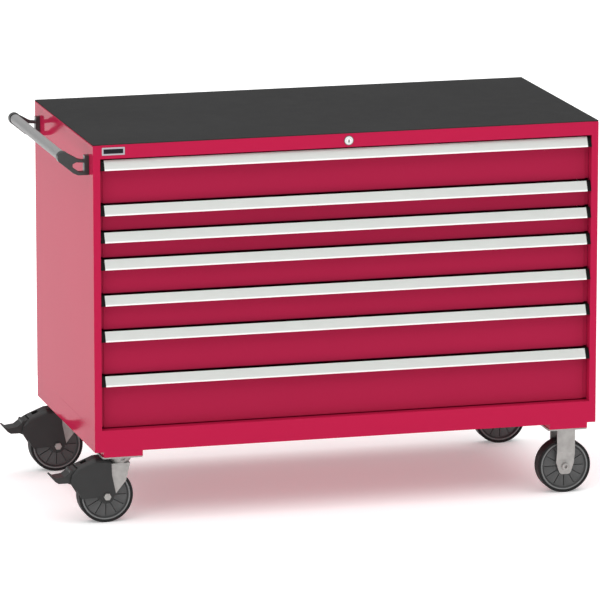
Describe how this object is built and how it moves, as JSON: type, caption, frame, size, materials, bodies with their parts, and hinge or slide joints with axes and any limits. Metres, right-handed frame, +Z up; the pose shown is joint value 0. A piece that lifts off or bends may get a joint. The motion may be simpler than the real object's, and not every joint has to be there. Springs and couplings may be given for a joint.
{
  "type": "mobile workbench with drawers",
  "caption": "Wheeled workbench: crimson steel cabinet with full-width drawers, black mat top, push handle on one end, central lock, braked swivel and rigid casters.",
  "frame": {"origin": "middle of the whole object's footprint on the floor, brake pedals and handle lips included", "axes": "+X along the width towards the rigid casters, +Y from the drawer fronts to the back, +Z up"},
  "size_m": [1.5526, 0.727, 1.062],
  "materials": {
    "red_paint": "satin crimson powder coat",
    "drawer_paint": "satin crimson powder coat, a shade darker",
    "black_mat": "fine matte texture",
    "badge_plastic": "glossy, plain",
    "slide_steel": "zinc plated",
    "handle_alloy": "satin anodised",
    "cap_plastic": "matte black",
    "lock_chrome": "satin chrome",
    "bar_steel": "zinc plated",
    "bracket_plastic": "matte black",
    "tube_alloy": "satin",
    "zinc_steel": "zinc plated",
    "brake_plastic": "matte dark grey",
    "hub_plastic": "matte grey",
    "tyre_rubber": "matte black"
  },
  "bodies": {
    "cabinet": {"side_panel_left": "red_paint", "side_panel_right": "red_paint", "back_panel": "red_paint", "top_panel": "red_paint", "bottom_panel": "red_paint", "base_frame": "red_paint", "worktop_mat": "black_mat", "label_plate": "badge_plastic", "lock_barrel": "lock_chrome", "cabinet_rails": "slide_steel", "caster_channels": "red_paint", "fixing_screws": "bar_steel", "handle_brackets": "bracket_plastic", "push_tube": "tube_alloy", "swivel_plates": "zinc_steel", "rigid_forks": "zinc_steel"},
    "drawer_1_unit": {"drawer_1": "drawer_paint", "handle_1": "handle_alloy", "handle_caps_1": "cap_plastic"},
    "slides_1_unit": {"slides_1": "slide_steel"},
    "drawer_2_unit": {"drawer_2": "drawer_paint", "handle_2": "handle_alloy", "handle_caps_2": "cap_plastic"},
    "slides_2_unit": {"slides_2": "slide_steel"},
    "drawer_3_unit": {"drawer_3": "drawer_paint", "handle_3": "handle_alloy", "handle_caps_3": "cap_plastic"},
    "slides_3_unit": {"slides_3": "slide_steel"},
    "drawer_4_unit": {"drawer_4": "drawer_paint", "handle_4": "handle_alloy", "handle_caps_4": "cap_plastic"},
    "slides_4_unit": {"slides_4": "slide_steel"},
    "drawer_5_unit": {"drawer_5": "drawer_paint", "handle_5": "handle_alloy", "handle_caps_5": "cap_plastic"},
    "slides_5_unit": {"slides_5": "slide_steel"},
    "drawer_6_unit": {"drawer_6": "drawer_paint", "handle_6": "handle_alloy", "handle_caps_6": "cap_plastic"},
    "slides_6_unit": {"slides_6": "slide_steel"},
    "drawer_7_unit": {"drawer_7": "drawer_paint", "handle_7": "handle_alloy", "handle_caps_7": "cap_plastic"},
    "slides_7_unit": {"slides_7": "slide_steel"},
    "lock_plug": {"lock_cylinder": "lock_chrome"},
    "lock_linkage": {"lock_bar": "bar_steel"},
    "swivel_front": {"swivel_fork_front": "zinc_steel", "brake_cover_front": "brake_plastic"},
    "pedal_front": {"brake_pedal_front": "brake_plastic"},
    "swivel_wheel_front": {"swivel_front_hub": "hub_plastic", "swivel_front_tyre": "tyre_rubber"},
    "rigid_wheel_front": {"rigid_front_hub": "hub_plastic", "rigid_front_tyre": "tyre_rubber"},
    "swivel_rear": {"swivel_fork_rear": "zinc_steel", "brake_cover_rear": "brake_plastic"},
    "pedal_rear": {"brake_pedal_rear": "brake_plastic"},
    "swivel_wheel_rear": {"swivel_rear_hub": "hub_plastic", "swivel_rear_tyre": "tyre_rubber"},
    "rigid_wheel_rear": {"rigid_rear_hub": "hub_plastic", "rigid_rear_tyre": "tyre_rubber"}
  },
  "joints": [
    {"name": "drawer_1_slide", "type": "slide", "parent": "cabinet", "child": "drawer_1_unit", "axis": [0, -1, 0], "range_m": [0, 0.62]},
    {"name": "slides_1_slide", "type": "slide", "parent": "cabinet", "child": "slides_1_unit", "axis": [0, -1, 0], "range_m": [0, 0.31]},
    {"name": "drawer_2_slide", "type": "slide", "parent": "cabinet", "child": "drawer_2_unit", "axis": [0, -1, 0], "range_m": [0, 0.62]},
    {"name": "slides_2_slide", "type": "slide", "parent": "cabinet", "child": "slides_2_unit", "axis": [0, -1, 0], "range_m": [0, 0.31]},
    {"name": "drawer_3_slide", "type": "slide", "parent": "cabinet", "child": "drawer_3_unit", "axis": [0, -1, 0], "range_m": [0, 0.62]},
    {"name": "slides_3_slide", "type": "slide", "parent": "cabinet", "child": "slides_3_unit", "axis": [0, -1, 0], "range_m": [0, 0.31]},
    {"name": "drawer_4_slide", "type": "slide", "parent": "cabinet", "child": "drawer_4_unit", "axis": [0, -1, 0], "range_m": [0, 0.62]},
    {"name": "slides_4_slide", "type": "slide", "parent": "cabinet", "child": "slides_4_unit", "axis": [0, -1, 0], "range_m": [0, 0.31]},
    {"name": "drawer_5_slide", "type": "slide", "parent": "cabinet", "child": "drawer_5_unit", "axis": [0, -1, 0], "range_m": [0, 0.62]},
    {"name": "slides_5_slide", "type": "slide", "parent": "cabinet", "child": "slides_5_unit", "axis": [0, -1, 0], "range_m": [0, 0.31]},
    {"name": "drawer_6_slide", "type": "slide", "parent": "cabinet", "child": "drawer_6_unit", "axis": [0, -1, 0], "range_m": [0, 0.62]},
    {"name": "slides_6_slide", "type": "slide", "parent": "cabinet", "child": "slides_6_unit", "axis": [0, -1, 0], "range_m": [0, 0.31]},
    {"name": "drawer_7_slide", "type": "slide", "parent": "cabinet", "child": "drawer_7_unit", "axis": [0, -1, 0], "range_m": [0, 0.62]},
    {"name": "slides_7_slide", "type": "slide", "parent": "cabinet", "child": "slides_7_unit", "axis": [0, -1, 0], "range_m": [0, 0.31]},
    {"name": "lock_turn", "type": "hinge", "parent": "cabinet", "child": "lock_plug", "pos_m": [0.05875, -0.3605, 1.04], "axis": [0, 1, 0], "range_deg": [0, 90]},
    {"name": "lock_bar_drop", "type": "slide", "parent": "cabinet", "child": "lock_linkage", "axis": [0, 0, -1], "range_m": [0, 0.008]},
    {"name": "swivel_front_turn", "type": "hinge", "parent": "cabinet", "child": "swivel_front", "pos_m": [-0.57975, -0.3055, 0.186], "axis": [0, 0, 1], "continuous": true},
    {"name": "swivel_wheel_front_spin", "type": "hinge", "parent": "swivel_front", "child": "swivel_wheel_front", "pos_m": [-0.62075, -0.3055, 0.0762], "axis": [0, 1, 0], "continuous": true},
    {"name": "pedal_front_press", "type": "hinge", "parent": "swivel_front", "child": "pedal_front", "pos_m": [-0.69775, -0.3055, 0.1395], "axis": [0, -1, 0], "range_deg": [0, 12]},
    {"name": "rigid_wheel_front_spin", "type": "hinge", "parent": "cabinet", "child": "rigid_wheel_front", "pos_m": [0.69725, -0.3055, 0.0762], "axis": [0, 1, 0], "continuous": true},
    {"name": "swivel_rear_turn", "type": "hinge", "parent": "cabinet", "child": "swivel_rear", "pos_m": [-0.57975, 0.3085, 0.186], "axis": [0, 0, 1], "continuous": true},
    {"name": "swivel_wheel_rear_spin", "type": "hinge", "parent": "swivel_rear", "child": "swivel_wheel_rear", "pos_m": [-0.62075, 0.3085, 0.0762], "axis": [0, 1, 0], "continuous": true},
    {"name": "pedal_rear_press", "type": "hinge", "parent": "swivel_rear", "child": "pedal_rear", "pos_m": [-0.69775, 0.3085, 0.1395], "axis": [0, -1, 0], "range_deg": [0, 12]},
    {"name": "rigid_wheel_rear_spin", "type": "hinge", "parent": "cabinet", "child": "rigid_wheel_rear", "pos_m": [0.69725, 0.3085, 0.0762], "axis": [0, 1, 0], "continuous": true}
  ],
  "couplings": [
    {"joint": "slides_1_slide", "follows": "drawer_1_slide", "ratio": 0.5},
    {"joint": "slides_2_slide", "follows": "drawer_2_slide", "ratio": 0.5},
    {"joint": "slides_3_slide", "follows": "drawer_3_slide", "ratio": 0.5},
    {"joint": "slides_4_slide", "follows": "drawer_4_slide", "ratio": 0.5},
    {"joint": "slides_5_slide", "follows": "drawer_5_slide", "ratio": 0.5},
    {"joint": "slides_6_slide", "follows": "drawer_6_slide", "ratio": 0.5},
    {"joint": "slides_7_slide", "follows": "drawer_7_slide", "ratio": 0.5},
    {"joint": "lock_turn", "follows": "lock_bar_drop", "rad_per_m": 196.3}
  ]
}
